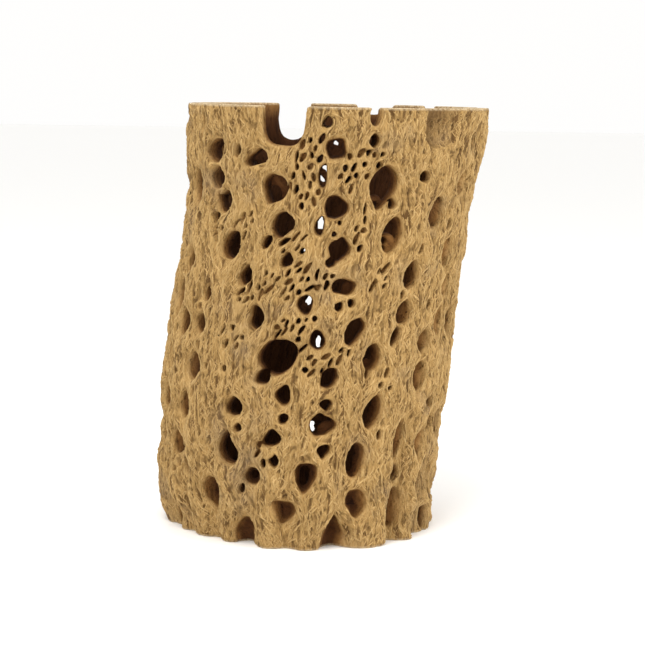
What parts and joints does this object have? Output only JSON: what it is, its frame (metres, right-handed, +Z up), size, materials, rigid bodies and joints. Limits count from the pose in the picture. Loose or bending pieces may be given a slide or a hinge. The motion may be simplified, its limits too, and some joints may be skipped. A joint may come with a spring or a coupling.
{
  "type": "cholla cactus skeleton",
  "caption": "Cut length of cholla cactus skeleton: a hollow, slightly leaning wooden net with ribs and oval windows, sawn flat at both ends.",
  "frame": {"origin": "on the surface it stands on, under the middle of the piece's bounding box", "axes": "+Z up along the trunk, from the foot's saw cut to the top's; -Y is the pictured front; the trunk leans towards +X"},
  "size_m": [0.1182, 0.1096, 0.152],
  "materials": {
    "cholla_wood": "dry, matt, fibrous, tan"
  },
  "bodies": {
    "root": {"cholla_skeleton": "cholla_wood"}
  },
  "joints": []
}
